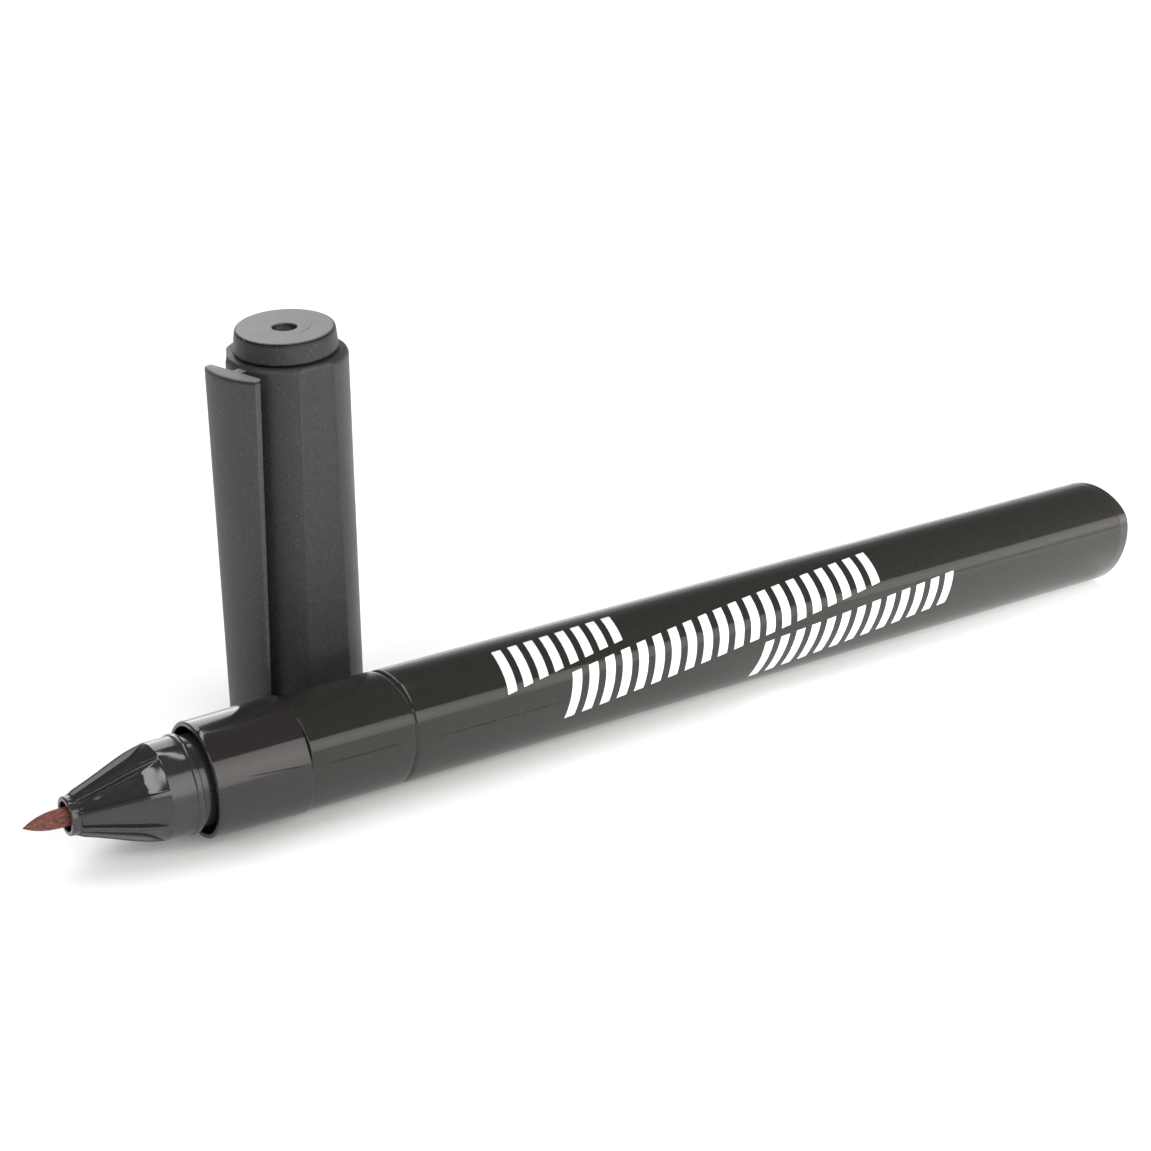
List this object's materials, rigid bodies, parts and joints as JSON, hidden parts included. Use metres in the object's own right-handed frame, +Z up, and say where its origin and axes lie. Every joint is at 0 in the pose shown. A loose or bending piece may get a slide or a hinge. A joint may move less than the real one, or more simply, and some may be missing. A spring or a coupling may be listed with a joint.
{
  "type": "felt tip marker",
  "caption": "Fine-line felt tip marker with a fibre nib on a ribbed holder, lying with its clip cap standing open beside it.",
  "frame": {"origin": "on the table plane, below the middle of the whole arrangement", "axes": "+X along the pen from nib to tail, +Z up, +Y from the pen towards the standing cap"},
  "size_m": [0.1208, 0.0276, 0.0397],
  "materials": {
    "nib": "fibrous, ink-stained red-brown",
    "nib_holder": "gloss black moulding",
    "front_sleeve": "gloss black",
    "barrel": "gloss black with a white print",
    "tail_plug": "gloss black",
    "ink_reservoir": "ink-soaked fibre",
    "reservoir_wrap": "thin film",
    "cap_shell": "satin dark grey, fine texture",
    "cap_top_plug": "satin dark grey",
    "cap_seal": "soft natural plastic",
    "cap_clip": "satin dark grey, fine texture"
  },
  "bodies": {
    "pen": {"nib": "nib", "nib_holder": "nib_holder", "front_sleeve": "front_sleeve", "barrel": "barrel", "tail_plug": "tail_plug", "ink_reservoir": "ink_reservoir", "reservoir_wrap": "reservoir_wrap"},
    "cap": {"cap_shell": "cap_shell", "cap_top_plug": "cap_top_plug", "cap_seal": "cap_seal"},
    "clip": {"cap_clip": "cap_clip"}
  },
  "joints": [
    {"name": "cap_lift", "type": "slide", "parent": "pen", "child": "cap", "axis": [0, 0, 1], "range_m": [0, 0.06]},
    {"name": "clip_flex", "type": "hinge", "parent": "cap", "child": "clip", "pos_m": [-0.03153, 0.00583, 0.0372], "axis": [-0.342, 0.9397, 0], "range_deg": [0, 3.5], "stiffness_Nm_per_rad": 0.1}
  ]
}
